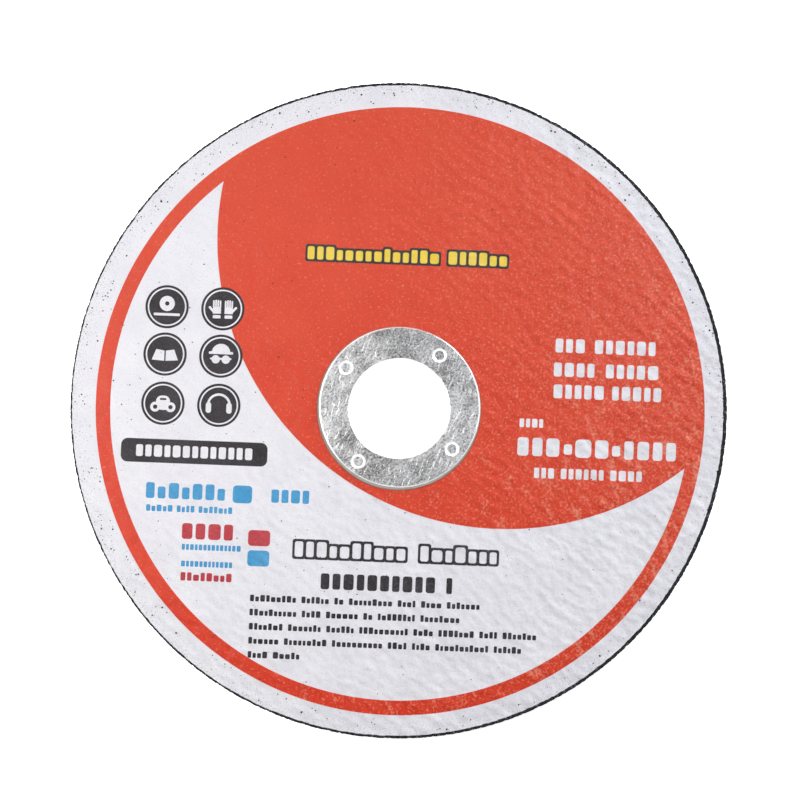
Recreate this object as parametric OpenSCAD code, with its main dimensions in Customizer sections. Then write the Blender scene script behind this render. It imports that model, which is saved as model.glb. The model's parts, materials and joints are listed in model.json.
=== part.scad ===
// Cut-off wheel for an angle grinder, lying label side up.
// Millimetres. The origin is on the bore's axis at the back face, and +Z points out of the label.

/* [Wheel] */
// Outside diameter of the wheel
wheel_d = 150; // [115:1:230]
// Thickness of the wheel over its printed label
wheel_t = 1.2; // [1:0.1:3]
// Rounding of both moulded edges of the rim
rim_round = 0.15; // [0.05:0.05:0.4]

/* [Label] */
// Width of bare abrasive round the label
rim_bare = 0.6; // [0.2:0.05:3]
// Thickness of the label's paper
label_t = 0.1; // [0.05:0.01:0.2]
// Clearance round the label, at its edge and at the ring
label_gap = 0.05; // [0.02:0.01:0.2]

/* [Print] */
// Thickness of the red ink
ink_t = 0.03; // [0.02:0.01:0.06]
// Width of the white border between the label's edge and the red band
border_w = 4.9; // [2:0.1:12]
// Width of the red band round the white crescent
band_w = 3.3; // [1:0.1:8]
// Width of the red neck between the ring and the white crescent
neck_w = 1.6; // [0.5:0.1:8]
// Direction from the crescent to the red field, counter-clockwise from +X
crescent_turn = 58; // [0:1:359]

/* [Ring] */
// Bore through the ring, for the grinder's arbor
bore_d = 22.2; // [15.9:0.1:25.4]
// Radial width of the ring, from its bore to its outer edge
flange_w = 7.6; // [6:0.1:12]
// Thickness of the ring's sheet metal
sheet_t = 0.4; // [0.35:0.05:0.6]
// Inside radius of the bend between flange and collar
bend_r = 0.3; // [0.15:0.05:0.45]
// Rounding of the flange's outer edge, left by the blanking die
die_round = 0.3; // [0.1:0.05:0.3]
// How far the collar stops short of the back face
collar_short = 0.05; // [0:0.01:0.2]
// Clearance between the ring and the wheel, round the collar and the prongs
seat_gap = 0.02; // [0.01:0.01:0.1]

/* [Prongs] */
// Number of prongs pressed down out of the flange
prong_count = 4; // [2:1:8]
// Direction of the first prong, counter-clockwise from +X
prong_turn = 52.5; // [0:0.5:90]
// Width of a prong's dimple at its mouth
prong_mouth_d = 3.3; // [2.4:0.1:4]
// Width of a prong's dimple at its floor
prong_floor_d = 2.2; // [1:0.1:2.3]
// Depth of a prong's dimple
prong_depth = 0.33; // [0.1:0.01:0.5]

/* [Hidden] */
$fn = 96;

// How far a cutting shape runs past the face that it cuts
cut_over = 1;

// Heights: paper's face, abrasive's face under the paper, start of the ring's bend
paper_z = wheel_t - ink_t;
face_z = paper_z - label_t;
bend_z = face_z - bend_r;

// Radii of the wheel, the label and its print
wheel_r = wheel_d / 2;
label_r = wheel_r - rim_bare;
label_seat_r = label_r + label_gap;
band_r = label_r - border_w;
field_r = band_r - band_w;

// Radii of the ring, outwards from its bore
bore_r = bore_d / 2;
bend_outer_r = bend_r + sheet_t;
lip_r = bore_r + bend_outer_r;
ring_r = bore_r + flange_w;
prong_r = (lip_r + ring_r) / 2;
collar_seat_r = bore_r + sheet_t + seat_gap;
label_hole_r = ring_r + label_gap;

// Greatest width of the crescent, which is how far the red field lies off the bore's axis
crescent_w = field_r - label_hole_r - neck_w;
field_place = crescent_w * [cos(crescent_turn), sin(crescent_turn)];

// What lies outside a round of radius r, in the corner between its +X and +Y sides
module corner_cut(r) {
    difference() {
        square(r + cut_over);
        circle(r);
    }
}

// Places one child at each prong, turned outwards
module at_prongs() {
    for (i = [0 : prong_count - 1]) {
        rotate(prong_turn + i * 360 / prong_count)
            translate([prong_r, 0])
                children();
    }
}

// Cone of a prong's dimple with its mouth at z = 0, larger by gap all round
module prong_cone(gap) {
    translate([0, 0, -prong_depth - gap])
        cylinder(h = prong_depth + gap, d1 = prong_floor_d + 2 * gap, d2 = prong_mouth_d + 2 * gap);
}

// Half section of the wheel: a web under the label and a bare rim flush with the print
module disc_section() {
    difference() {
        translate([collar_seat_r, 0])
            square([wheel_r - collar_seat_r, wheel_t]);
        // Seat of the label and the ring
        translate([0, face_z])
            square([label_seat_r, wheel_t]);
        // Round under the ring's bend
        translate([collar_seat_r + bend_r, bend_z])
            rotate(90)
                corner_cut(bend_r);
        // Rim's edges, front and back
        translate([wheel_r - rim_round, wheel_t - rim_round])
            corner_cut(rim_round);
        translate([wheel_r - rim_round, rim_round])
            rotate(-90)
                corner_cut(rim_round);
    }
}

// Half section of the ring: collar, rolled lip and flange in one thickness of sheet
module ring_section() {
    translate([bore_r, collar_short])
        square([sheet_t, bend_z - collar_short]);
    translate([lip_r, bend_z])
        intersection() {
            difference() {
                circle(bend_outer_r);
                circle(bend_r);
            }
            translate([-bend_outer_r, 0])
                square(bend_outer_r);
        }
    difference() {
        translate([lip_r, face_z])
            square([ring_r - lip_r, sheet_t]);
        translate([ring_r - die_round, face_z + sheet_t - die_round])
            corner_cut(die_round);
    }
}

// Outline of the print: a red disc, less the crescent and the ring's place
module red_outline() {
    difference() {
        circle(band_r);
        difference() {
            circle(field_r);
            translate(field_place)
                circle(field_r);
        }
        circle(label_hole_r);
    }
}

// Resin-bonded abrasive wheel, with a pocket under each prong
module abrasive_disc() {
    color("#2a2a2e")
        difference() {
            rotate_extrude()
                disc_section();
            translate([0, 0, face_z])
                at_prongs()
                    prong_cone(seat_gap);
        }
}

// Paper label in its seat on the front face
module label() {
    color("#e9e8ee")
        translate([0, 0, face_z])
            linear_extrude(label_t)
                difference() {
                    circle(label_r);
                    circle(label_hole_r);
                }
}

// Red ink on the paper
module red_print() {
    color("#d5503c")
        translate([0, 0, paper_z])
            linear_extrude(ink_t)
                red_outline();
}

// Stamped ring, with its prongs drawn down from the flange into the wheel
module arbor_ring() {
    color("#b9b9b9")
        difference() {
            union() {
                rotate_extrude()
                    ring_section();
                translate([0, 0, face_z])
                    at_prongs()
                        prong_cone(0);
            }
            translate([0, 0, face_z + sheet_t])
                at_prongs()
                    prong_cone(0);
        }
}

abrasive_disc();
label();
red_print();
arbor_ring();
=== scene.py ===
# Cut-off wheel lying label side up. Sizes are in millimetres, angles in degrees, and meshes in metres.
import json
import math
import random
from functools import partial

import bpy
import numpy as np
from mathutils import Matrix, Vector, kdtree, noise
from mathutils.geometry import delaunay_2d_cdt


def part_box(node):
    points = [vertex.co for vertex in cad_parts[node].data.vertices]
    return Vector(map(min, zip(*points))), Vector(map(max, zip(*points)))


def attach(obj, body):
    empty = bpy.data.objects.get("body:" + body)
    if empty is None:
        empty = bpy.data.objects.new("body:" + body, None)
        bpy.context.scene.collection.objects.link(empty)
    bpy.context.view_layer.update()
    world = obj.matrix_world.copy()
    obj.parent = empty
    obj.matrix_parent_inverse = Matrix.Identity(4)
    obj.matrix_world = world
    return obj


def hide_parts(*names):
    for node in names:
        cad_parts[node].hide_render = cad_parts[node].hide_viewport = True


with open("model.json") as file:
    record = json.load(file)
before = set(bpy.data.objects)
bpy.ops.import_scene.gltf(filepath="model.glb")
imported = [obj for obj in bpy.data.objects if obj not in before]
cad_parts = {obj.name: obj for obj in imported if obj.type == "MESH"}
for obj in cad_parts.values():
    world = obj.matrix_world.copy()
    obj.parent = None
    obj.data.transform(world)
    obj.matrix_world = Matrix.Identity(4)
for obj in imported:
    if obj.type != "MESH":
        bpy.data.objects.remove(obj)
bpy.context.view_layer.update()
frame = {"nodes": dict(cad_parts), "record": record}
mm = 0.001


def reach(node):
    low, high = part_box(node)
    return high.x / mm, low.z / mm, high.z / mm


wheelRadius, wheelBack, wheelFront = reach("abrasive_disc")
labelRadius, paperBack, paperFront = reach("label")
bandRadius, inkBack, inkFront = reach("red_print")
ringRadius, _, ringFront = reach("arbor_ring")
boreRadius = next(m["dims"]["r_mm"] for m in frame["record"]["mounts"] if m["name"] == "arbor_bore")
print(f"frame: wheel {2 * wheelRadius:.1f}, label {2 * labelRadius:.1f}, ring {2 * ringRadius:.1f} mm across")


# Nodes, colours and meshes

def linear(hexColour):
    channels = [int(hexColour[i:i + 2], 16) / 255 for i in (1, 3, 5)]
    return [c / 12.92 if c <= 0.04045 else ((c + 0.055) / 1.055) ** 2.4 for c in channels] + [1.0]


def perSize(size):
    return 1 / (size * mm)  # a texture's scale for features of that many millimetres


def feed(node, feeds):
    for socket, value in feeds.items():
        if isinstance(value, bpy.types.NodeSocket):
            node.id_data.links.new(value, node.inputs[socket])
        else:
            node.inputs[socket].default_value = value


def addNode(tree, kind, feeds=None, out=0, **settings):
    # a kind without "Node" in its name is a shader node, as most are
    node = tree.nodes.new(kind if "Node" in kind else "ShaderNode" + kind)
    for name, value in settings.items():
        setattr(node, name, value)
    feed(node, feeds or {})
    return node.outputs[out] if len(node.outputs) else node


mixFactor, mixFrom, mixTo, mixOut = 0, 6, 7, 2  # sockets of a colour Mix node


def newMaterial(name):
    material = bpy.data.materials.new(name)
    material.use_nodes = True
    tree = material.node_tree
    return material, partial(addNode, tree), tree.nodes["Principled BSDF"]


def newPiece(name, points, faces, material, sharpAngle=40):
    mesh = bpy.data.meshes.new(name)
    mesh.from_pydata((np.asarray(points, float) * mm).tolist(), [], faces)
    mesh.materials.append(material)
    mesh.shade_smooth()
    mesh.set_sharp_from_angle(angle=math.radians(sharpAngle))
    piece = bpy.data.objects.new(name, mesh)
    bpy.context.scene.collection.objects.link(piece)
    return piece


def newTree(name, sizes, seedKind):
    tree = bpy.data.node_groups.new(name, "GeometryNodeTree")
    inputs = {"Geometry": "Geometry", **dict.fromkeys(sizes, "Float"), "Seed": seedKind}
    for socket, kind in {**inputs, "Material": "Material"}.items():
        tree.interface.new_socket(socket, in_out="INPUT", socket_type="NodeSocket" + kind)
    tree.interface.new_socket("Geometry", in_out="OUTPUT", socket_type="NodeSocketGeometry")
    return tree, partial(addNode, tree), addNode(tree, "NodeGroupInput").node.outputs


def applyTree(piece, tree, values):
    modifier = piece.modifiers.new(tree.name, "NODES")
    modifier.node_group = tree
    for item in tree.interface.items_tree:
        if item.in_out == "INPUT" and item.name in values:
            modifier[item.identifier] = values[item.name]
    flat = piece.data
    made = bpy.data.meshes.new_from_object(piece.evaluated_get(bpy.context.evaluated_depsgraph_get()))
    piece.modifiers.remove(modifier)
    piece.data = made
    made.name = piece.name
    bpy.data.meshes.remove(flat)


def store(piece, name, values):
    attribute = piece.data.attributes.new(name, "FLOAT", "POINT")
    attribute.data.foreach_set("value", np.asarray(values, np.float32))


# Outlines, as closed lists of points

# of the label's mesh: its step, its least distance from an outline, and an arc's greatest turn in one step,
# which is larger on an arc up to the small radius
lattice = {"spacing": 0.5, "clear": 0.3, "turn": 15, "smallTurn": 30, "small": 1}


def arc(x, y, radius, start, end):
    turn = lattice["turn"] if radius > lattice["small"] else lattice["smallTurn"]
    sweep = abs(end - start)
    count = max(2, math.ceil(math.radians(sweep) * radius / lattice["spacing"]), math.ceil(sweep / turn))
    angles = [math.radians(start + (end - start) * i / count) for i in range(count + 1)]
    return [(x + radius * math.cos(a), y + radius * math.sin(a)) for a in angles]


def disc(x, y, radius):
    return arc(x, y, radius, 0, 360)[:-1]


def stepped(points):
    made = []
    for (ax, ay), (bx, by) in zip(points, points[1:] + points[:1]):
        count = max(1, round(math.hypot(bx - ax, by - ay) / lattice["spacing"]))
        made += [(ax + (bx - ax) * i / count, ay + (by - ay) * i / count) for i in range(count)]
    return made


def placed(outline, x, y, turn):
    c, s = math.cos(math.radians(turn)), math.sin(math.radians(turn))
    return [(x + px * c - py * s, y + px * s + py * c) for px, py in outline]


def bar(x, y, width, height, corner, turn=0):
    made = []
    for sx, sy, start in ((1, 1, 0), (-1, 1, 90), (-1, -1, 180), (1, -1, 270)):
        made += arc(sx * (width / 2 - corner), sy * (height / 2 - corner), corner, start, start + 90)
    return stepped(placed(made, x, y, turn))


def anticlockwise(outline):
    area = sum(ax * by - bx * ay for (ax, ay), (bx, by) in zip(outline, outline[1:] + outline[:1]))
    return outline if area > 0 else outline[::-1]


def finder(spots):
    near = kdtree.KDTree(len(spots))
    for i, (x, y) in spots.items():
        near.insert((x, y, 0), i)
    near.balance()
    return near


def latticePoints(outlinePoints, spacing):
    near = finder(dict(enumerate(outlinePoints)))
    edge = max(abs(v) for p in outlinePoints for v in p)
    rise = spacing * math.sqrt(3) / 2
    made = []
    for row in range(-int(edge / rise), int(edge / rise) + 1):
        shift = spacing / 2 * (row % 2)
        for column in range(-int(edge / spacing) - 1, int(edge / spacing) + 1):
            x, y = column * spacing + shift, row * rise
            if near.find((x, y, 0))[2] > lattice["clear"]:
                made.append((x, y))
    return made


def triangulate(outlines, spacing=None):
    # points, the triangles inside the outlines, and which outlines cover each triangle
    outlines = [anticlockwise(outline) for outline in outlines]
    points = [p for outline in outlines for p in outline]
    starts = np.cumsum([0] + [len(outline) for outline in outlines])
    loops = [list(range(a, b)) for a, b in zip(starts, starts[1:])]
    if spacing:
        points += latticePoints(points, spacing)
    insideOnly, tolerance = 1, 1e-6
    made = delaunay_2d_cdt([Vector(p) for p in points], [], loops, insideOnly, tolerance, True)
    flat = np.array([tuple(v) for v in made[0]])
    return flat, made[2], made[5]


def openEdges(triangles):
    t = np.array(triangles)
    edges = np.concatenate((t[:, (0, 1)], t[:, (1, 2)], t[:, (2, 0)]))
    _, where, count = np.unique(np.sort(edges, axis=1), axis=0, return_index=True, return_counts=True)
    return edges[where[count == 1]].tolist()


def renumber(triangles):
    used = sorted({i for t in triangles for i in t})
    return used, {old: new for new, old in enumerate(used)}


def film(flat, triangles, low, high):
    # a closed sheet: the triangles at two heights, and a wall round each island and hole
    used, place = renumber(triangles)
    n = len(used)
    points = [(*flat[i], high) for i in used] + [(*flat[i], low) for i in used]
    faces = [[place[i] for i in t] for t in triangles]
    faces += [[place[i] + n for i in reversed(t)] for t in triangles]
    for a, b in openEdges(triangles):
        faces.append([place[a] + n, place[b] + n, place[b], place[a]])
    return points, faces


def span(points, faces, outer, inners, z, up, spacing=None):
    # a flat face between a loop of points and the holes in it, on a lattice where it carries relief
    loops = [outer, *inners]
    flat, triangles, covers = triangulate([[tuple(points[i][:2]) for i in loop] for loop in loops], spacing)
    near = finder({i: points[i][:2] for loop in loops for i in loop})
    samePoint = 0.001
    place = {}
    for triangle, cover in zip(triangles, covers):
        if cover != [0]:
            continue
        for i in triangle:
            if i not in place:
                _, place[i], gap = near.find((*flat[i], 0))
                if gap > samePoint:  # a point of the lattice, on none of the loops
                    place[i] = len(points)
                    points.append((*flat[i], z))
        face = [place[i] for i in triangle]
        faces.append(face if up else face[::-1])


# Print: plain blocks and simple figures in the print's own frame, x to the right and y up

printing = {"place": (0.33, -0.21), "turn": -2.2, "bandWidth": 3.3, "neckWidth": 1.6, "crescentTurn": 58}
labelling = {"place": (-0.24, 0.01), "gap": 0.05, "fray": 0.16, "frayLength": 0.9, "frayBias": 0.4}

# rows of blocks: ink, height of a tall block, share of it that a low block has and width of a dark outline,
# then for each row its left end, its middle height, the gap between its groups and the groups' lengths
blockRows = [
    ("yellow", 3.0, 0.78, 0.5, [(-22.6, 35.1, 2.2, (30.1, 13.4))]),
    ("paper", 3.2, 1.0, 0, [(34.9, 16.0, 2.3, (6.7, 13.9)),
                            (34.7, 10.5, 2.6, (9.3, 12.0)),
                            (34.8, 5.5, 1.9, (11.5, 11.2))]),
    ("paper", 2.0, 1.0, 0, [(27.3, -2.0, 1.4, (5.4,))]),
    ("paper", 4.2, 1.0, 0, [(27.0, -7.4, 3.6, (9.6, 7.6, 11.8))]),
    ("paper", 2.4, 1.0, 0, [(37.6, -7.7, 9.1, (1.9, 1.9))]),
    ("paper", 2.4, 1.0, 0, [(31.0, -13.3, 1.5, (4.6, 9.8, 7.2))]),
    ("blue", 3.6, 0.75, 0, [(-57.2, -20.6, 2.6, (18.0,))]),
    ("blue", 3.0, 1.0, 0, [(-28.6, -20.9, 2.6, (8.6,))]),
    ("blue", 1.5, 0.8, 0, [(-57.0, -24.6, 1.0, (6.0, 4.0, 7.6))]),
    ("crimson", 3.6, 1.0, 0, [(-48.6, -29.6, 1.6, (11.6,))]),
    ("blue", 1.3, 1.0, 0, [(-48.5, -33.2, 1.0, (13.4,)),
                           (-48.5, -37.0, 1.0, (11.6,))]),
    ("crimson", 1.9, 0.75, 0, [(-48.5, -39.9, 1.0, (11.6,))]),
    ("paper", 3.5, 0.76, 0.55, [(-22.8, -32.7, 3.4, (25.2, 17.4))]),
    ("dark", 3.6, 1.0, 0, [(-16.6, -39.8, 2.6, (26.0, 1.3))]),
    ("dark", 1.5, 0.74, 0, [(-32.5, -44.2, 1.3, (10.4, 6.2, 2.0, 9.8, 4.0, 4.6, 7.4)),
                            (-32.5, -47.4, 1.3, (10.6, 4.2, 7.2, 2.0, 8.4, 8.8)),
                            (-32.5, -50.6, 1.3, (7.6, 7.4, 6.2, 11.0, 4.4, 8.0, 4.0, 7.6)),
                            (-32.5, -53.8, 1.3, (6.8, 9.6, 11.4, 4.2, 4.0, 12.0, 6.2)),
                            (-32.5, -57.0, 1.3, (4.4, 6.0))]),
]
# a block's width and gap as shares of its height, its corner as a share of its narrow side
blockForm = {"width": 0.74, "vary": 0.25, "gap": 0.2, "corner": 0.25, "tallChance": 0.25, "seed": 7}
fields = {"corner": 0.8, "places": [("blue", (-35.2, -20.8), (4.4, 4.0)),
                                    ("crimson", (-31.0, -30.6), (5.0, 3.6)),
                                    ("blue", (-31.0, -35.2), (5.0, 3.6))]}
roundels = {"columns": (-54.2, -41.45), "rows": (21.4, 10.55, -0.7),
            "radius": 4.95, "lineOuter": 4.42, "lineInner": 4.08}
pill = {"place": (-46.6, -11.6), "width": 33.4, "height": 5.4, "corner": 1.5, "row": 26.5, "rowHeight": 2.7}


def roundelFigures():
    # six plain figures, one for each roundel in reading order, drawn from its middle
    wheelOnBar = [("paper", disc(0, 0.75, 1.75)), ("dark", disc(0, 0.75, 0.5))]
    wheelOnBar.append(("paper", bar(0, -1.75, 6.0, 0.62, 0.2)))
    gloves = []
    pages = []
    for s in (-1, 1):
        x = s * 1.35
        for finger in (-0.75, -0.25, 0.25, 0.75):
            gloves.append(("paper", bar(x + finger, 1.05, 0.4, 2.1 - abs(finger) / 2, 0.18)))
        gloves.append(("paper", bar(x, -0.55, 1.9, 1.9, 0.4)))
        gloves.append(("paper", bar(s * 2.6, -0.15, 0.55, 1.7, 0.25, -s * 42)))
        gloves.append(("dark", bar(x, -1.3, 1.9, 0.3, 0.1)))
        gloves.append(("paper", bar(x, -1.85, 1.8, 0.75, 0.15)))
        page = [(s * 3.0, -1.35), (s * 2.05, 1.1), (s * 0.15, 0.8), (s * 0.15, -1.55)]
        pages.append(("paper", stepped(page)))
    helmet = [("paper", stepped(arc(0, 0.7, 2.15, 0, 180))), ("paper", bar(0, 0.75, 5.6, 0.6, 0.25))]
    helmet += [("paper", disc(x, -0.75, 0.98)) for x in (-1.15, 1.15)]
    helmet.append(("paper", bar(0, -0.6, 4.9, 0.45, 0.2)))
    mask = [("paper", bar(0, 0.1, 3.2, 3.3, 1.3)), ("dark", bar(0, 0.95, 1.5, 0.45, 0.2))]
    for ink, radius in (("paper", 1.15), ("dark", 0.5)):
        mask += [(ink, disc(x, -0.85, radius)) for x in (-1.75, 1.75)]
    muffs = [("paper", stepped(arc(0, 0, 2.75, 0, 180) + arc(0, 0, 2.2, 180, 0)))]
    muffs += [("paper", bar(x, -0.6, 1.25, 2.4, 0.5)) for x in (-2.35, 2.35)]
    return [wheelOnBar, gloves, pages, helmet, mask, muffs]


def rowBlocks(height, low, rows):
    # middle, width and height of each block
    chance = random.Random(blockForm["seed"])
    between = blockForm["gap"] * height
    made = []
    for left, middle, gap, groups in rows:
        for length in groups:
            count = max(1, round(length / (blockForm["width"] * height)))
            widths = [chance.uniform(1 - blockForm["vary"], 1 + blockForm["vary"]) for _ in range(count)]
            scale = (length - between * (count - 1)) / sum(widths)
            x = left
            for i, width in enumerate(widths):
                high = height if i == 0 or chance.random() < blockForm["tallChance"] else height * low
                made.append((x + scale * width / 2, middle - (height - high) / 2, scale * width, high))
                x += scale * width + between
            left += length + gap
    return made


def blockShapes(ink, blocks):
    return [(ink, bar(x, y, w, h, blockForm["corner"] * min(w, h))) for x, y, w, h in blocks]


def printedShapes():
    # painted in order, so that a later shape covers an earlier one
    fieldRadius = bandRadius - printing["bandWidth"]
    crescentWidth = fieldRadius - (ringRadius + labelling["gap"]) - printing["neckWidth"]
    toward = printing["crescentTurn"] - printing["turn"]
    fieldX, fieldY = (crescentWidth * f(math.radians(toward)) for f in (math.cos, math.sin))
    half = math.degrees(math.acos(crescentWidth / 2 / fieldRadius))
    crescent = arc(0, 0, fieldRadius, toward + half, toward - half + 360)
    crescent += arc(fieldX, fieldY, fieldRadius, toward + 180 + half, toward + 180 - half)[1:-1]
    shapes = [("red", disc(0, 0, bandRadius)), ("paper", crescent)]
    for ink, height, low, outline, rows in blockRows:
        blocks = rowBlocks(height, low, rows)
        if outline:
            for x, y, w, h in blocks:
                shapes.append(("dark", bar(x, y, w + 2 * outline, h + 2 * outline, outline)))
        shapes += blockShapes(ink, blocks)
    shapes += [(ink, bar(*place, *size, fields["corner"])) for ink, place, size in fields["places"]]
    places = [(x, y) for y in roundels["rows"] for x in roundels["columns"]]
    for (x, y), figures in zip(places, roundelFigures()):
        for ink, edge in (("dark", "radius"), ("paper", "lineOuter"), ("dark", "lineInner")):
            shapes.append((ink, disc(x, y, roundels[edge])))
        shapes += [(ink, [(x + px, y + py) for px, py in outline]) for ink, outline in figures]
    x, y = pill["place"]
    shapes.append(("dark", bar(x, y, pill["width"], pill["height"], pill["corner"])))
    row = [(x - pill["row"] / 2, y, 0, (pill["row"],))]
    shapes += blockShapes("paper", rowBlocks(pill["rowHeight"], 1, row))
    return shapes


# Woven imprint: the ridges that the glass mesh under the surface leaves, over and under by turns,
# and the short dimples that the press leaves between them

def buildWeaveTree():
    sizes = ("Thread Spacing", "Turn", "Waver", "Height", "Lift", "Patch Size", "Patch Least",
             "Dimple Size", "Dimple Depth", "Least Rise", "Most Rise")
    tree, add, given = newTree("weaveImprint", sizes, "Float")
    place = add("GeometryNodeInputPosition")
    turned = add("VectorRotate", {"Vector": place, "Angle": given["Turn"]}, rotation_type="Z_AXIS")
    threads = add("VectorMath", {0: turned, 1: given["Thread Spacing"]}, operation="DIVIDE")
    # threads wander off their lines, over about three spacings
    wander = add("TexNoise", {"Vector": threads, "W": given["Seed"], "Scale": 0.32, "Detail": 1.0},
                 out="Color", noise_dimensions="4D")
    wander = add("VectorMath", {0: wander, 1: (0.5, 0.5, 0.5)}, operation="SUBTRACT")
    wander = add("VectorMath", {0: wander, "Scale": given["Waver"]}, operation="SCALE")
    woven = add("VectorMath", {0: threads, 1: wander})
    split = add("SeparateXYZ", {0: woven}).node.outputs
    # one set of threads is over where the other is under, and the second stands less high
    sets = ((split["X"], split["Y"], 0.5, 1.0), (split["Y"], split["X"], -0.5, 0.7))
    ridges = []
    for across, along, over, strength in sets:
        turns = add("Math", {0: across, 1: math.pi}, operation="MULTIPLY")
        section = add("Math", {0: turns}, operation="COSINE")
        section = add("Math", {0: section, 1: 2.0}, operation="POWER")
        count = add("Math", {0: across}, operation="ROUND")
        phase = add("Math", {0: along, 1: count})
        phase = add("Math", {0: phase, 1: math.pi}, operation="MULTIPLY")
        wave = add("Math", {0: phase}, operation="COSINE")
        wave = add("Math", {0: wave, 1: over, 2: 0.5}, operation="MULTIPLY_ADD")
        ridge = add("Math", {0: section, 1: wave}, operation="MULTIPLY")
        ridges.append(add("Math", {0: ridge, 1: strength}, operation="MULTIPLY"))
    relief = add("Math", {0: ridges[0], 1: ridges[1]})
    # the mesh shows in patches
    patches = add("VectorMath", {0: place, 1: given["Patch Size"]}, operation="DIVIDE")
    patch = add("TexNoise", {"Vector": patches, "W": given["Seed"], "Scale": 1.0, "Detail": 4.0,
                             "Roughness": 0.62}, noise_dimensions="4D")
    patch = add("MapRange", {"Value": patch, "From Min": 0.36, "From Max": 0.66,
                             "To Min": given["Patch Least"]})
    relief = add("Math", {0: relief, 1: patch}, operation="MULTIPLY")
    rise = add("Math", {0: relief, 1: given["Height"], 2: given["Lift"]}, operation="MULTIPLY_ADD")
    # dimples, a little longer along a thread
    dimples = add("VectorMath", {0: turned, 1: given["Dimple Size"]}, operation="DIVIDE")
    dimples = add("VectorMath", {0: dimples, 1: (1, 0.8, 1)}, operation="MULTIPLY")
    dimple = add("TexNoise", {"Vector": dimples, "W": given["Seed"], "Scale": 1.0, "Detail": 1.0},
                 noise_dimensions="4D")
    dimple = add("Math", {0: dimple, 1: 0.5}, operation="SUBTRACT")
    rise = add("Math", {0: dimple, 1: given["Dimple Depth"], 2: rise}, operation="MULTIPLY_ADD")
    share = add("GeometryNodeInputNamedAttribute", {"Name": "imprint"}, data_type="FLOAT")
    rise = add("Math", {0: rise, 1: share}, operation="MULTIPLY")
    rise = add("Math", {0: rise, 1: given["Least Rise"]}, operation="MAXIMUM")
    rise = add("Math", {0: rise, 1: given["Most Rise"]}, operation="MINIMUM")
    offset = add("CombineXYZ", {"Z": rise})
    thread = add("Math", {0: relief, 1: share}, operation="MULTIPLY")
    moved = add("GeometryNodeStoreNamedAttribute",
                {"Geometry": given["Geometry"], "Name": "thread", "Value": thread},
                data_type="FLOAT", domain="POINT")
    moved = add("GeometryNodeSetPosition", {"Geometry": moved, "Offset": offset})
    moved = add("GeometryNodeRealizeInstances", {"Geometry": moved})
    moved = add("GeometryNodeSetMaterial", {"Geometry": moved, "Material": given["Material"]})
    add("NodeGroupOutput", {"Geometry": moved})
    return tree


weaveTree = buildWeaveTree()
frontWeave = {
    "Thread Spacing": 2.7 * mm, "Turn": math.radians(-52), "Waver": 2.0,
    "Height": 0.22 * mm, "Lift": -0.02 * mm, "Patch Size": 6 * mm, "Patch Least": 0.05,
    "Dimple Size": 1.9 * mm, "Dimple Depth": 0.44 * mm,
    "Least Rise": -0.085 * mm, "Most Rise": 0.26 * mm, "Seed": 3.0,
}
backWeave = {
    "Thread Spacing": 4.2 * mm, "Turn": math.radians(-52), "Waver": 0.5,
    "Height": -0.16 * mm, "Lift": 0.16 * mm, "Patch Size": 18 * mm, "Patch Least": 0.6,
    "Dimple Size": 2 * mm, "Dimple Depth": 0.0,
    "Least Rise": 0.0, "Most Rise": 0.3 * mm, "Seed": 8.0,
}
# where the press left the label deepest
deepSide = {"toward": (0.8, -0.5), "gain": 0.55, "least": 0.4, "most": 1.45}


def imprint(piece, share, values, spare=("imprint", "thread")):
    store(piece, "imprint", share)
    applyTree(piece, weaveTree, {**values, "Material": piece.data.materials[0]})
    for name in spare:
        piece.data.attributes.remove(piece.data.attributes[name])


def depthShare(points):
    toward = np.asarray(points, float)[:, :2] @ deepSide["toward"] / wheelRadius
    return np.clip(1 + deepSide["gain"] * toward, deepSide["least"], deepSide["most"])


# Materials

# the fibre is drawn far coarser than real paper's, so that it shows
paperLook = {
    "white": "#f0eff1", "shade": "#e5e4e8", "roughness": 0.6, "fibre": 0.4, "cloud": 9,
    "pepper": "#8f8e95", "pepperSize": 0.3, "pepperGather": 0.08, "pepperMost": 0.7,
    "grain": 0.45, "grainDepth": 0.018, "crease": 1.0, "creaseLeast": 0.03, "creaseMost": 0.11,
}


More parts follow.
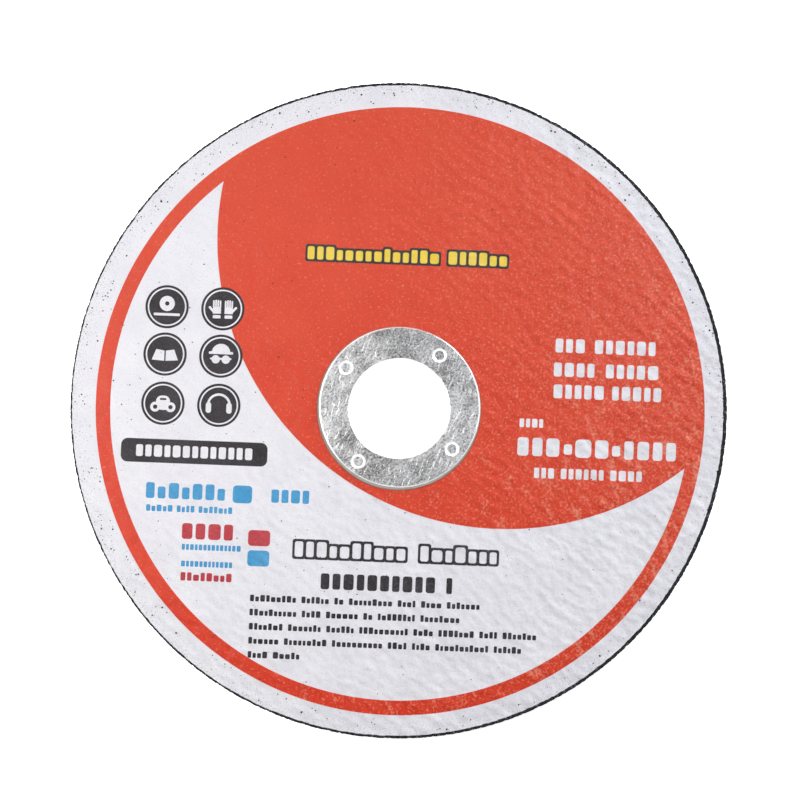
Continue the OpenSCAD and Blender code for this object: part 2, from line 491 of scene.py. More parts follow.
def makeLabelPaper():
    # Uncoated label paper pressed on in the mould: a dull, faintly blue white with a fine grain, peppered
    # with grit towards its edge and creased most where the press left it deepest
    look = paperLook
    material, add, shader = newMaterial("labelPaper")
    spot = add("TexCoord", out="Object")
    cloud = add("TexNoise", {"Vector": spot, "Scale": perSize(look["cloud"]), "Detail": 3.0})
    fibre = add("TexNoise", {"Vector": spot, "Scale": perSize(look["fibre"]), "Detail": 2.0})
    tone = add("Math", {0: cloud, 1: fibre}, operation="MULTIPLY")
    tone = add("MapRange", {"Value": tone, "From Min": 0.12, "From Max": 0.38})
    colour = add("Mix", {mixFactor: tone, mixFrom: linear(look["shade"]), mixTo: linear(look["white"])},
                 out=mixOut, data_type="RGBA")
    away = add("VectorMath", {0: spot}, out="Value", operation="LENGTH")
    border = add("MapRange", {"Value": away, "From Min": bandRadius * mm, "From Max": labelRadius * mm,
                              "To Min": 0.0, "To Max": look["pepperGather"]})
    pepper = add("TexNoise", {"Vector": spot, "Scale": perSize(look["pepperSize"]), "Detail": 1.0})
    pepper = add("Math", {0: pepper, 1: border})
    pepper = add("MapRange", {"Value": pepper, "From Min": 0.66, "From Max": 0.8,
                              "To Max": look["pepperMost"]})
    colour = add("Mix", {mixFactor: pepper, mixFrom: colour, mixTo: linear(look["pepper"])},
                 out=mixOut, data_type="RGBA")
    grain = add("TexNoise", {"Vector": spot, "Scale": perSize(look["grain"]), "Detail": 3.0})
    crease = add("TexNoise", {"Vector": spot, "Scale": perSize(look["crease"]), "Detail": 1.0})
    toward = Vector((*deepSide["toward"], 0)) / (wheelRadius * mm)
    toward = add("VectorMath", {0: spot, 1: toward}, out="Value", operation="DOT_PRODUCT")
    depth = add("MapRange", {"Value": toward, "From Min": -0.7, "From Max": 0.6,
                             "To Min": look["creaseLeast"], "To Max": look["creaseMost"]})
    crease = add("Math", {0: crease, 1: depth}, operation="MULTIPLY")
    height = add("Math", {0: grain, 1: look["grainDepth"], 2: crease}, operation="MULTIPLY_ADD")
    bump = add("Bump", {"Height": height, "Distance": mm})
    feed(shader, {"Base Color": colour, "Roughness": look["roughness"], "Normal": bump})
    return material


# each ink: full and thin colours, its pale colour for flecks where the grain stands through and for the
# painted sheen and painted highlights, its roughness, and how much it pales
inkLook = {
    "red": {"full": "#d93519", "thin": "#de4122", "bare": "#f3a384", "roughness": 0.34, "paling": 1.0},
    "dark": {"full": "#262226", "thin": "#3c373b", "bare": "#8d898c", "roughness": 0.42, "paling": 0.35},
    "yellow": {"full": "#f0cf3e", "thin": "#f2d75c", "bare": "#f6e59a", "roughness": 0.42, "paling": 0.35},
    "blue": {"full": "#3f97c9", "thin": "#58a6d2", "bare": "#93c5e2", "roughness": 0.42, "paling": 0.35},
    "crimson": {"full": "#b8323a", "thin": "#c34a50", "bare": "#d98d90", "roughness": 0.42, "paling": 0.35},
}
inkFilm = {"cloud": 11, "grain": 0.6, "pit": 0.5, "pitDepth": 0.13,
           "smoother": 0.1, "rougher": 0.14, "specular": 0.25}
# pale marks: flecks where the grain stands through, more of them towards the fleck side as painted sheen; a
# veil that makes the ink paler towards the top; and streaks that are painted highlights, on the lower right
flecksAndSheen = {
    "fleck": 0.62, "fleckSide": (0.93, -0.37, 0), "fleckGain": 0.1, "fleckMost": 0.6,
    "veil": 0.12, "veilSide": (0.2, 0.98, 0),
    "streak": 0.17, "streakSide": (0.7, -0.7, 0), "streakWidth": 1.9, "streakLength": 2.4, "streakTurn": 105,
}


def makeInk(name):
    # Screen-printed ink, half gloss: full in most places, thinner in clouds, with pale flecks where the grain
    # stands through and more of them towards the right as painted sheen, painted highlight streaks on the
    # lower right, and paler towards the top
    look = inkLook[name]
    material, add, shader = newMaterial(name + "Ink")
    spot = add("TexCoord", out="Object")
    cloud = add("TexNoise", {"Vector": spot, "Scale": perSize(inkFilm["cloud"]), "Detail": 3.0})
    grain = add("TexNoise", {"Vector": spot, "Scale": perSize(inkFilm["grain"]), "Detail": 4.0,
                             "Roughness": 0.65})
    thin = add("Math", {0: cloud, 1: grain})
    thin = add("MapRange", {"Value": thin, "From Min": 0.85, "From Max": 1.25})
    colour = add("Mix", {mixFactor: thin, mixFrom: linear(look["full"]), mixTo: linear(look["thin"])},
                 out=mixOut, data_type="RGBA")
    shares = []
    # shares towards the side of the painted sheen, towards the top, and towards the side of the painted
    # highlight streaks
    for side, start, end in (("fleckSide", -0.5, 0.8), ("veilSide", -0.9, 0.6), ("streakSide", 0.0, 0.6)):
        toward = Vector(flecksAndSheen[side]) / (wheelRadius * mm)
        toward = add("VectorMath", {0: spot, 1: toward}, out="Value", operation="DOT_PRODUCT")
        shares.append(add("MapRange", {"Value": toward, "From Min": start, "From Max": end}))
    paling, veiled, streaked = shares
    # painted highlight streaks, drawn long, on the lower right
    drawn = add("Mapping", {"Vector": spot, "Rotation": (0, 0, math.radians(flecksAndSheen["streakTurn"])),
                            "Scale": (flecksAndSheen["streakLength"], 1, 1)}, vector_type="TEXTURE")
    streak = add("TexNoise", {"Vector": drawn, "Scale": perSize(flecksAndSheen["streakWidth"]), "Detail": 1.0})
    streak = add("MapRange", {"Value": streak, "From Min": 0.54, "From Max": 0.7,
                              "To Max": flecksAndSheen["streak"]})
    streak = add("Math", {0: streak, 1: streaked}, operation="MULTIPLY")
    # flecks where the grain stands through, more of them towards the right as painted sheen
    fleck = add("TexNoise", {"Vector": spot, "Scale": perSize(flecksAndSheen["fleck"]), "Detail": 2.0,
                             "Roughness": 0.6})
    fleck = add("Math", {0: paling, 1: flecksAndSheen["fleckGain"], 2: fleck}, operation="MULTIPLY_ADD")
    fleck = add("Math", {0: fleck, 1: streak})
    fleck = add("MapRange", {"Value": fleck, "From Min": 0.6, "From Max": 0.86,
                             "To Max": flecksAndSheen["fleckMost"]})
    # the veil: the ink is paler towards the top
    fleck = add("Math", {0: veiled, 1: flecksAndSheen["veil"], 2: fleck}, operation="MULTIPLY_ADD")
    fleck = add("Math", {0: fleck, 1: look["paling"]}, operation="MULTIPLY", use_clamp=True)
    colour = add("Mix", {mixFactor: fleck, mixFrom: colour, mixTo: linear(look["bare"])},
                 out=mixOut, data_type="RGBA")
    rough = add("MapRange", {"Value": grain, "To Min": look["roughness"] - inkFilm["smoother"],
                             "To Max": look["roughness"] + inkFilm["rougher"]})
    pits = add("TexNoise", {"Vector": spot, "Scale": perSize(inkFilm["pit"]), "Detail": 2.0})
    bump = add("Bump", {"Height": pits, "Strength": 0.8, "Distance": inkFilm["pitDepth"] * mm})
    feed(shader, {"Base Color": colour, "Roughness": rough, "Normal": bump})
    feed(shader, {"Specular IOR Level": inkFilm["specular"]})
    return material


abrasiveLook = {
    "resin": "#0c0c0e", "grit": "#222122", "glint": "#5c5855", "thread": "#4a4743", "specular": 0.3,
    "gritSize": 0.35, "gritDepth": 0.12, "bareAbove": 0.93, "smoothest": 0.55, "roughest": 0.95,
}


def makeBondedAbrasive():
    # Fused alumina grit in black phenolic resin, moulded: charcoal, coarse, with a dull glint on the bare
    # grains, and with the mesh's threads rubbed pale on the back
    look = abrasiveLook
    material, add, shader = newMaterial("bondedAbrasive")
    spot = add("TexCoord", out="Object")
    cells = add("TexVoronoi", {"Vector": spot, "Scale": perSize(look["gritSize"])}).node.outputs
    kind = add("SeparateColor", {0: cells["Color"]}).node.outputs
    bare = add("Math", {0: kind["Green"], 1: look["bareAbove"]}, operation="GREATER_THAN")
    thread = add("Attribute", out="Fac", attribute_name="thread")
    rubbed = add("MapRange", {"Value": thread, "From Min": 0.2, "From Max": 0.75, "To Max": 0.8})
    colour = linear(look["resin"])
    for share, over in ((kind["Red"], "grit"), (bare, "glint"), (rubbed, "thread")):
        colour = add("Mix", {mixFactor: share, mixFrom: colour, mixTo: linear(look[over])},
                     out=mixOut, data_type="RGBA")
    rough = add("MapRange", {"Value": kind["Blue"], "To Min": look["smoothest"], "To Max": look["roughest"]})
    bump = add("Bump", {"Height": cells["Distance"], "Strength": 0.8, "Distance": look["gritDepth"] * mm},
               invert=True)
    feed(shader, {"Base Color": colour, "Roughness": rough, "Normal": bump})
    feed(shader, {"Specular IOR Level": look["specular"]})
    return material


# the scratches are drawn wider than real ones, so that they show
tinLook = {
    "bright": "#ffffff", "dull": "#848483", "roughness": 0.3, "roughSwing": 0.12,
    "cloud": 4, "mottle": 0.5, "mottleDepth": 0.04, "fleck": 0.28, "lobeSide": (-0.95, 0.2, 0), "lobe": 0.055,
    "scratchWidth": 0.2, "scratchLength": 16, "scratchTurn": 62,
    "scratches": ((0, 0.0), (9, 0.02), (-26, 0.05)),  # turn and shift of each set
    "cutEdgeAndReflection": "#a39d93", "cutRough": 0.35, "lipPlace": (0.15, 0.32, 0), "lipInset": 0.35,
    # across the lip: start, end and most of its bright line, a painted highlight, of its fall and of the cut
    # edge, whose warm tint is a painted reflection of the label
    "lipBands": ((-0.36, -0.2, 1.0), (-0.25, 0.0, -3.6), (-0.02, 0.04, 1.0)),
}


def makeTinnedSteel():
    # Stamped tinplate: mottled grey shine with bright flecks and fine scratches from the press, a painted
    # highlight on its bent faces and along the rolled lip, and a dull cut edge where the rolled lip stops
    # short of the flange's rim, tinted with a painted reflection of the label
    look = tinLook
    material, add, shader = newMaterial("tinnedSteel")
    spot = add("TexCoord", out="Object")
    cloud = add("TexNoise", {"Vector": spot, "Scale": perSize(look["cloud"]), "Detail": 2.0})
    mottle = add("TexNoise", {"Vector": spot, "Scale": perSize(look["mottle"]), "Detail": 4.0,
                              "Roughness": 0.7})
    tone = add("Math", {0: cloud, 1: 0.6, 2: mottle}, operation="MULTIPLY_ADD")
    # painted reflection: rolled sheet shines in two lobes, so the tone is lighter towards both ends of one
    # axis and darker across it
    side = Vector(look["lobeSide"]) / (ringRadius * mm)
    side = add("VectorMath", {0: spot, 1: side}, out="Value", operation="DOT_PRODUCT")
    side = add("Math", {0: side}, operation="ABSOLUTE")
    side = add("MapRange", {"Value": side, "From Min": 0.15, "From Max": 0.9,
                            "To Min": -look["lobe"], "To Max": look["lobe"]})
    tone = add("Math", {0: side, 1: tone})
    tone = add("MapRange", {"Value": tone, "From Min": 0.63, "From Max": 0.97, "To Max": 0.85})
    fleck = add("TexNoise", {"Vector": spot, "Scale": perSize(look["fleck"]), "Detail": 1.0})
    fleck = add("MapRange", {"Value": fleck, "From Min": 0.6, "From Max": 0.72})
    scratch = None
    for turn, shift in look["scratches"]:
        turn = math.radians(look["scratchTurn"] + turn)
        drawn = add("Mapping", {"Vector": spot, "Location": (shift, shift, shift), "Rotation": (0, 0, turn),
                                "Scale": (look["scratchLength"], 1, 1)}, vector_type="TEXTURE")
        line = add("TexNoise", {"Vector": drawn, "Scale": perSize(look["scratchWidth"]), "Detail": 1.0})
        line = add("MapRange", {"Value": line, "From Min": 0.655, "From Max": 0.72})
        scratch = add("Math", {0: scratch, 1: line}, operation="MAXIMUM") if scratch else line
    shine = add("Math", {0: scratch, 1: fleck}, operation="MAXIMUM")
    tone = add("Math", {0: shine, 1: 0.6, 2: tone}, operation="MULTIPLY_ADD", use_clamp=True)
    # painted highlight: faces that tilt away from up, on the bends and the prong dimples, are painted bright
    facing = add("TexCoord", out="Normal")
    facing = add("SeparateXYZ", {0: facing}, out="Z")
    paintedBendHighlight = add("MapRange", {"Value": facing, "From Min": 0.97, "From Max": 0.9})
    tone = add("Math", {0: paintedBendHighlight, 1: tone}, operation="MAXIMUM")
    # the rolled lip carries a painted highlight as its bright line, falls away, and ends in the cut edge,
    # whose warm tint is a painted reflection of the label; the bands sit off centre, furthest in on the lower
    # left
    flatSpot = add("VectorMath", {0: spot, 1: (1, 1, 0)}, operation="MULTIPLY")
    away = add("VectorMath", {0: flatSpot, 1: Vector(look["lipPlace"]) * mm}, out="Value",
               operation="DISTANCE")
    lip = (ringRadius - look["lipInset"]) * mm
    bands = []
    for start, end, most in look["lipBands"]:
        bands.append(add("MapRange", {"Value": away, "From Min": lip + start * mm, "From Max": lip + end * mm,
                                      "To Max": most}))
    paintedLipHighlight, fall, cut = bands
    tone = add("Math", {0: paintedLipHighlight, 1: tone}, operation="MAXIMUM")
    colour = add("Mix", {mixFactor: tone, mixFrom: linear(look["dull"]), mixTo: linear(look["bright"])},
                 out=mixOut, data_type="RGBA")
    # the dull cut edge, tinted with a painted reflection of the label
    colour = add("Mix", {mixFactor: cut, mixFrom: colour, mixTo: linear(look["cutEdgeAndReflection"])},
                 out=mixOut, data_type="RGBA")
    height = add("Math", {0: scratch, 1: -0.4, 2: mottle}, operation="MULTIPLY_ADD")
    height = add("Math", {0: height, 1: fall})
    bump = add("Bump", {"Height": height, "Strength": 0.8, "Distance": look["mottleDepth"] * mm})
    rough = add("MapRange", {"Value": mottle, "To Min": look["roughness"] - look["roughSwing"],
                             "To Max": look["roughness"] + look["roughSwing"]})
    rough = add("Math", {0: cut, 1: look["cutRough"], 2: rough}, operation="MULTIPLY_ADD")
    metal = add("Math", {0: 1.0, 1: cut}, operation="SUBTRACT")
    feed(shader, {"Base Color": colour, "Roughness": rough, "Normal": bump, "Metallic": metal})
    return material


labelPaper = makeLabelPaper()
bondedAbrasive = makeBondedAbrasive()
tinnedSteel = makeTinnedSteel()
print("materials made")


# Label: one triangulation carries the paper and every ink, so that their edges meet exactly

def frayed(x, y, radius):
    made = []
    for px, py in disc(x, y, radius):
        ragged = noise.noise(Vector((px, py, 0)) / labelling["frayLength"])
        cut = labelling["fray"] * max(0, labelling["frayBias"] + ragged)
        made.append((px + (x - px) * cut / radius, py + (y - py) * cut / radius))
    return made


def buildLabel():
    shapes = [("paper", frayed(*labelling["place"], labelRadius))]
    for ink, outline in printedShapes():
        shapes.append((ink, placed(outline, *printing["place"], printing["turn"])))
    shapes.append(("hole", disc(0, 0, ringRadius + labelling["gap"])))
    flat, triangles, covers = triangulate([outline for _, outline in shapes], lattice["spacing"])
    regions = {}
    for triangle, cover in zip(triangles, covers):
        if cover:  # none outside the label
            regions.setdefault(shapes[max(cover)][0], []).append(list(triangle))
    del regions["hole"]
    return flat, regions


def buildPaper(flat, regions):
    top = [t for region in regions.values() for t in region]
    edges = openEdges(top)
    used, place = renumber(top)
    points = [(*flat[i], paperFront) for i in used]
    faces = [[place[i] for i in t] for t in top]
    under = {}  # the edge's points again, on the wheel
    for a, _ in edges:
        under[a] = len(points)
        points.append((*flat[a], paperBack))
    follow = dict(edges)
    loops = []
    left = set(follow)
    while left:
        loop = [min(left)]
        while follow[loop[-1]] != loop[0]:
            loop.append(follow[loop[-1]])
        left -= set(loop)
        loops.append([under[i] for i in loop])
    faces += [[under[a], under[b], place[b], place[a]] for a, b in edges]
    edge, hole = sorted(loops, key=len, reverse=True)
    span(points, faces, edge, [hole], paperBack, False)
    paper = newPiece("label_paper", points, faces, labelPaper)
    imprint(paper, depthShare(points) * [z > paperBack for _, _, z in points], frontWeave)
    return paper


flat, regions = buildLabel()
paper = buildPaper(flat, regions)
print(f"label: {len(paper.data.polygons)} faces, inks {sorted(set(regions) - {'paper'})}")

prints = {}
for ink in inkLook:
    points, faces = film(flat, regions[ink], inkBack, inkFront)
    prints[ink] = newPiece(ink + "_print_film", points, faces, makeInk(ink))
    imprint(prints[ink], depthShare(points), frontWeave)
    print(f"{ink} print: {len(faces)} faces")


# Wheel: a coarse rim, a flat web and a back that shows the mesh

# the rim's loops lie at shares of its top and its side, and at turns round its two edges, and its grit is
# stretched up its side
rim = {"points": 1700, "round": 0.15, "sink": 0.03, "top": (0.35, 0.7), "turns": (80, 40, 5),
       "side": (0.25, 0.5, 0.75), "rough": 0.3, "seatRough": 0.15, "topRough": 0.6,
       "gritSize": 0.6, "gritStretch": 0.4, "inward": 0.12, "lift": 0.5, "frontLoops": 5, "skin": 0.01,
       "sharpAngle": 60}
bore = {"points": 180, "gap": 0.42, "bend": 0.3, "bendMiddle": 0.09}
pockets = {"points": 24, "count": 4, "turn": 52.5, "reach": 15.25,
           "mouth": 1.67, "floor": 1.12, "depth": 0.35}
wheelBackFace = {"lattice": 0.62, "rimClear": 0.4, "boreClear": 1.5, "fade": 2, "skin": 0.005}


def anglesRound(count):
    return [math.tau * i / count for i in range(count)]


def addLoop(points, loop):
    points += loop
    return list(range(len(points) - len(loop), len(points)))


def addCircles(points, section, count, x=0, y=0):
    # a loop about an upright axis for each radius and height in a section
    turns = anglesRound(count)
    loops = []
    for r, z in section:
        loops.append(addLoop(points, [(x + r * math.cos(t), y + r * math.sin(t), z) for t in turns]))
    return loops


def joinLoops(faces, loops):
    for low, high in zip(loops, loops[1:]):
        for i in range(len(low)):
            j = (i + 1) % len(low)
            faces.append([low[i], high[i], high[j], low[j]])


def gritNoise(x, y, z):
    spot = Vector((x, y, z)) / rim["gritSize"]
    return noise.noise(spot) + 0.5 * noise.noise(spot * 2.3)


def rimStations(angles):
    # from the label's seat over the rim to the back: radius, height and roughness at each angle
    lx, ly = labelling["place"]
    seatRadius = labelRadius + labelling["gap"]
    seats = []
    for a in angles:
        along = lx * math.cos(a) + ly * math.sin(a)
        seats.append(along + math.sqrt(seatRadius ** 2 - (lx * lx + ly * ly - along * along)))
    r = rim["round"]
    front = wheelFront - rim["sink"]
    stations = [[(seat, paperBack, 0) for seat in seats], [(seat, front, rim["seatRough"]) for seat in seats]]
    for share in rim["top"]:
        stations.append([(seat + share * (wheelRadius - r - seat), front, rim["topRough"]) for seat in seats])
    profile = []
    for turn in rim["turns"]:
        c, s = math.cos(math.radians(turn)), math.sin(math.radians(turn))
        profile.append((wheelRadius - r + r * c, front - r + r * s, 1))
    for share in rim["side"]:
        profile.append((wheelRadius, wheelFront - r + share * (wheelBack - wheelFront + 2 * r), 1))
    for turn in reversed(rim["turns"]):
        c, s = math.cos(math.radians(-turn)), math.sin(math.radians(-turn))
        profile.append((wheelRadius - r + r * c, wheelBack + r + r * s, 1))
    return stations + [[station] * len(angles) for station in profile]


def rimLoops(points):
    angles = anglesRound(rim["points"])
    salt = 50  # keeps the heights' noise apart from the radii's
    loops = []
    for level, station in enumerate(rimStations(angles)):
        loop = []
        for a, (radius, z, roughness) in zip(angles, station):
            x, y = radius * math.cos(a), radius * math.sin(a)
            push = rim["rough"] * roughness
            radius += push * (gritNoise(x, y, rim["gritStretch"] * z) - rim["inward"])
            radius = min(radius, wheelRadius - rim["skin"])
            if level < rim["frontLoops"]:
                z += rim["lift"] * push * gritNoise(x, y, z + salt)
            loop.append((radius * math.cos(a), radius * math.sin(a), max(z, wheelBack + rim["skin"])))
        loops.append(addLoop(points, loop))
    return loops


def boreLoops(points):
    # from the back face up the bore and round under the ring's bend
    radius, bend, middle = boreRadius + bore["gap"], bore["bend"], bore["bendMiddle"]
    section = [(radius, wheelBack), (radius, paperBack - bend), (radius + middle, paperBack - middle),
               (radius + bend, paperBack)]
    return addCircles(points, section, bore["points"])


def addPockets(points, faces):
    # under the ring's prongs, as in the CAD wheel
    section = ((pockets["mouth"], paperBack), (pockets["floor"], paperBack - pockets["depth"]))
    mouths = []
    for i in range(pockets["count"]):
        a = math.radians(pockets["turn"] + 360 * i / pockets["count"])
        x, y = pockets["reach"] * math.cos(a), pockets["reach"] * math.sin(a)
        mouth, floor = addCircles(points, section, pockets["points"], x, y)
        joinLoops(faces, [floor, mouth])
        faces.append(floor)
        mouths.append(mouth)
    return mouths


def buildWheel():
    points, faces = [], []
    rimRound = rimLoops(points)
    joinLoops(faces, rimRound)
    boreRound = boreLoops(points)
    joinLoops(faces, boreRound)
    mouths = addPockets(points, faces)
    span(points, faces, rimRound[0], [boreRound[-1], *mouths], paperBack, True)
    span(points, faces, rimRound[-1], [boreRound[0]], wheelBack, False, wheelBackFace["lattice"])
    wheel = newPiece("abrasive_wheel", points, faces, bondedAbrasive, rim["sharpAngle"])
    # the mesh shows on the back face alone, and fades out towards rim and bore
    x, y, z = np.array(points).T
    away = np.hypot(x, y)
    fade = np.clip((wheelRadius - wheelBackFace["rimClear"] - away) / wheelBackFace["fade"], 0, 1)
    fade *= np.clip((away - boreRadius - wheelBackFace["boreClear"]) / wheelBackFace["fade"], 0, 1)
    imprint(wheel, fade * (z < wheelBack + wheelBackFace["skin"]), backWeave, ("imprint",))
    return wheel


wheel = buildWheel()
print(f"wheel: {len(wheel.data.polygons)} faces")


# Grit: single grains that stand out of the rim, and a few that come up through the paper

def buildGritTree():
    sizes = ("Density", "Least Size", "Greatest Size", "Small Share")
    tree, add, given = newTree("gritScatter", sizes, "Int")
    seed = given["Seed"]
    crowd = add("GeometryNodeInputNamedAttribute", {"Name": "crowd"}, data_type="FLOAT")
    density = add("Math", {0: given["Density"], 1: crowd}, operation="MULTIPLY")
    scatter = add("GeometryNodeDistributePointsOnFaces",
                  {"Mesh": given["Geometry"], "Density": density, "Seed": seed}, out="Points")
    grain = add("GeometryNodeMeshIcoSphere", {"Radius": 0.5, "Subdivisions": 1}, out="Mesh")
    chance = add("FunctionNodeRandomValue", {"Seed": seed}, out=1, data_type="FLOAT")
    chance = add("Math", {0: chance, 1: given["Small Share"]}, operation="POWER")
    size = add("MapRange", {"Value": chance, "To Min": given["Least Size"],
                            "To Max": given["Greatest Size"]})
    form = add("FunctionNodeRandomValue", {0: (0.6, 0.6, 0.6), 1: (1.2, 1.2, 1.2), "Seed": seed},
               data_type="FLOAT_VECTOR")
    form = add("VectorMath", {0: form, "Scale": size}, operation="SCALE")
    spin = add("FunctionNodeRandomValue", {1: (math.tau, math.tau, math.tau), "Seed": seed},
               data_type="FLOAT_VECTOR")
    spin = add("FunctionNodeEulerToRotation", {0: spin})
    grains = add("GeometryNodeInstanceOnPoints",
                 {"Points": scatter, "Instance": grain, "Rotation": spin, "Scale": form})
    grains = add("GeometryNodeRealizeInstances", {"Geometry": grains})
    grains = add("GeometryNodeSetShadeSmooth", {"Geometry": grains, "Shade Smooth": False})
    grains = add("GeometryNodeSetMaterial", {"Geometry": grains, "Material": given["Material"]})
    add("NodeGroupOutput", {"Geometry": grains})
    return tree


gritTree = buildGritTree()
# density in grains to a square metre
rimGrit = {"Density": 7.0e6, "Least Size": 0.14 * mm, "Greatest Size": 0.4 * mm,
           "Small Share": 1.0, "Seed": 5}
borderSpecks = {"Density": 0.26e6, "Least Size": 0.12 * mm, "Greatest Size": 0.5 * mm,
                "Small Share": 2.2, "Seed": 11}
faceSpecks = {"Density": 0.03e6, "Least Size": 0.12 * mm, "Greatest Size": 0.42 * mm,
              "Small Share": 2.0, "Seed": 23}
rimBand = {"points": 720, "frontIn": 0.16, "frontDown": 0.2, "backIn": 0.2, "backUp": 0.22}
# specks gather in clumps, near the edge and on one side, and stay clear of the borders of their place
crowding = {"clump": 5.0, "clumpMean": 0.8, "clumpSwing": 1.8, "clumpSeed": 7,
            "edge": 1.2, "edgeStart": 0.3, "side": (-0.7, 0.7), "sideGain": 0.5,
            "bandClear": 0.5, "edgeClear": 0.3, "ringClear": 1, "topClear": 0.02}
grainSkin = 0.005  # least depth of a grain inside the wheel's outline


def scatterGrit(piece, crowd, values, top):
    store(piece, "crowd", crowd)
    applyTree(piece, gritTree, {**values, "Material": bondedAbrasive})
    # no grain stands past the wheel's edge, its back or the given height
    spots = np.empty(len(piece.data.vertices) * 3)
    piece.data.vertices.foreach_get("co", spots)
    spots = spots.reshape(-1, 3) / mm
    spots[:, :2] *= np.minimum(1, (wheelRadius - grainSkin) / np.hypot(spots[:, 0], spots[:, 1]))[:, None]
    spots[:, 2] = np.clip(spots[:, 2], wheelBack + grainSkin, top)
    piece.data.vertices.foreach_set("co", (spots * mm).ravel())
    piece.data.update()


def buildRimGrit():
    # the grains sit on a band just inside the wheel's edge
    section = ((wheelRadius - rimBand["frontIn"], wheelFront - rimBand["frontDown"]),
               (wheelRadius - rimBand["backIn"], wheelBack + rimBand["backUp"]))
    points, faces = [], []
    joinLoops(faces, addCircles(points, section, rimBand["points"]))
    piece = newPiece("rim_grit", points, faces, bondedAbrasive)
    scatterGrit(piece, np.ones(len(points)), rimGrit, wheelFront)
    return piece


def crowdAt(x, y):
    clump = noise.noise(Vector((x, y, crowding["clumpSeed"])) / crowding["clump"])
    clump = max(0, crowding["clumpMean"] + crowding["clumpSwing"] * clump)
    border = (math.hypot(x, y) - bandRadius) / (labelRadius - bandRadius)
    edge = 1 + crowding["edge"] * max(0, border - crowding["edgeStart"])
    sideX, sideY = crowding["side"]
    return clump * edge * (1 + crowding["sideGain"] * (x * sideX + y * sideY) / wheelRadius)


def buildSpecks(name, inner, outer, values):
    # the label's own triangles carry the specks, so that they follow its relief
    top = [t for region in regions.values() for t in region]
    carrier = [t for t in top if inner < np.hypot(*flat[t].mean(axis=0)) < outer]
    used, place = renumber(carrier)
    points = [(*flat[i], inkFront) for i in used]
    piece = newPiece(name, points, [[place[i] for i in t] for t in carrier], bondedAbrasive)
    imprint(piece, depthShare(points), frontWeave)
    scatterGrit(piece, [crowdAt(x, y) for x, y, _ in points], values, ringFront - crowding["topClear"])
    return piece


rimGrains = buildRimGrit()
borderInner, borderOuter = bandRadius + crowding["bandClear"], labelRadius - crowding["edgeClear"]
specks = [buildSpecks("border_specks", borderInner, borderOuter, borderSpecks),
          buildSpecks("face_specks", ringRadius + crowding["ringClear"], bandRadius, faceSpecks)]
for piece in (rimGrains, *specks):
    print(f"{piece.name}: {len(piece.data.polygons)} faces")


# The ring keeps its CAD form

ring = frame["nodes"]["arbor_ring"]
ring.data.materials.clear()
ring.data.materials.append(tinnedSteel)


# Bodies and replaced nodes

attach(paper, "root")
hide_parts("label")
for piece in prints.values():
    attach(piece, "root")
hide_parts("red_print")
for piece in (wheel, rimGrains, *specks):
    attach(piece, "root")
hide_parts("abrasive_disc")


# Floor, light and camera

stage = {"floor": "#ffffff", "floorGlow": 0.8, "roughness": 0.9, "width": 3000}


def buildFloor():
    # Matt white backdrop board that glows a little, so that it stays white
    half = stage["width"] / 2
    material, _, shader = newMaterial("paleBackdrop")
    feed(shader, {"Base Color": linear(stage["floor"]), "Roughness": stage["roughness"],
                  "Emission Color": linear(stage["floor"]), "Emission Strength": stage["floorGlow"]})
    corners = [(-half, -half, 0), (half, -half, 0), (half, half, 0), (-half, half, 0)]
    floor = newPiece("floor", corners, [[0, 1, 2, 3]], material)


# soft boxes, and cards whose light is seen only in what shines
card = {"size": (1000, 320), "power": 1.05, "colour": "#ffffff", "card": True}
lamps = {
    "left": {"place": (-150, 0, 220), "size": (140, 120), "power": 0.36, "colour": "#fffdfc"},
    "right": {"place": (200, 120, 340), "size": (200, 160), "power": 0.54, "colour": "#f6f7ff"},
    "rake": {"place": (460, 420, 140), "size": (240, 120), "power": 2.2, "colour": "#eef1ff"},
    "cardOver": {**card, "place": (0, 0, 900), "size": (1400, 1400), "power": 1.15},
    "cardLeft": {**card, "place": (-500, 0, 270)},
    "cardRight": {**card, "place": (500, 0, 270)},
    "cardTop": {**card, "place": (0, 500, 270)},
    "cardBottom": {**card, "place": (0, -500, 270)},
}
# the sky of a light tent: its glow at each height, and the side that it leans to
tent = {"colour": "#fcfcff", "heights": (0.0, 0.09, 0.2, 1.0), "glow": (1.5, 1.5, 0.2, 0.2),
        "brightSide": (-0.5, 0.86, 0.0), "lean": 0.3}


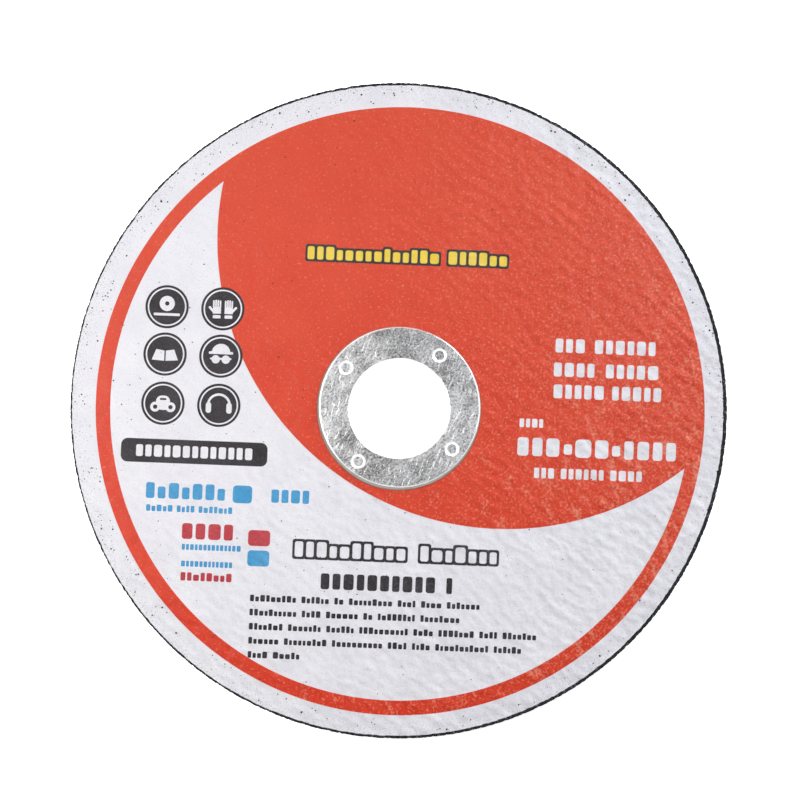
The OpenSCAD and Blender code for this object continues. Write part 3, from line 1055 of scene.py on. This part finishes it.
def buildTent():
    world = bpy.data.worlds.new("studio")
    world.use_nodes = True
    add = partial(addNode, world.node_tree)
    toward = add("TexCoord", out="Generated")
    up = add("SeparateXYZ", {0: toward}, out="Z")
    ramp = add("ValToRGB", {0: up}).node
    while len(ramp.color_ramp.elements) < len(tent["heights"]):
        ramp.color_ramp.elements.new(1.0)
    for stop, height, glow in zip(ramp.color_ramp.elements, tent["heights"], tent["glow"]):
        stop.position = height
        stop.color = (glow, glow, glow, 1)
    side = add("VectorMath", {0: toward, 1: tent["brightSide"]}, out="Value", operation="DOT_PRODUCT")
    side = add("Math", {0: side, 1: tent["lean"], 2: 1.0}, operation="MULTIPLY_ADD")
    glow = add("Math", {0: ramp.outputs["Color"], 1: side}, operation="MULTIPLY")
    feed(world.node_tree.nodes["Background"], {"Color": linear(tent["colour"]), "Strength": glow})
    bpy.context.scene.world = world


def buildLamps():
    for name, lamp in lamps.items():
        light = bpy.data.lights.new(name, "AREA")
        light.shape = "RECTANGLE"
        light.size, light.size_y = (side * mm for side in lamp["size"])
        light.energy = lamp["power"]
        light.color = linear(lamp["colour"])[:3]
        holder = bpy.data.objects.new(name, light)
        holder.visible_diffuse = "card" not in lamp
        holder.location = Vector(lamp["place"]) * mm
        holder.rotation_euler = (-holder.location).to_track_quat("-Z", "Y").to_euler()
        bpy.context.scene.collection.objects.link(holder)


# where the camera stood: its distance, its lean off the wheel's axis, and the wheel's centre and scale
# in the picture
shot = {"distance": 600, "leanX": -0.33, "leanY": -2.96, "sensor": 36,
        "picture": 800, "centre": (398.92, 408.66), "pixelsPerMm": 4.3717}


def buildCamera():
    camera = bpy.data.cameras.new("camera")
    holder = bpy.data.objects.new("camera", camera)
    x, y = (shot["distance"] * math.sin(math.radians(shot[lean])) for lean in ("leanX", "leanY"))
    z = math.sqrt(shot["distance"] ** 2 - x * x - y * y)
    middle = shot["picture"] / 2
    across, down = shot["centre"]
    aim = Vector(((middle - across) / shot["pixelsPerMm"], (down - middle) / shot["pixelsPerMm"], 0))
    eye = Vector((x, y, z))
    ahead = (aim - eye).normalized()
    right = ahead.cross(Vector((0, 1, 0))).normalized()
    holder.location = eye * mm
    holder.rotation_euler = Matrix((right, right.cross(ahead), -ahead)).transposed().to_euler()
    camera.sensor_width = shot["sensor"]
    camera.lens = shot["pixelsPerMm"] * shot["distance"] / shot["picture"] * shot["sensor"]
    bpy.context.scene.collection.objects.link(holder)
    bpy.context.scene.camera = holder


buildFloor()
buildTent()
buildLamps()
buildCamera()
bpy.context.scene.view_settings.view_transform = "Standard"
print("floor, light and camera placed")
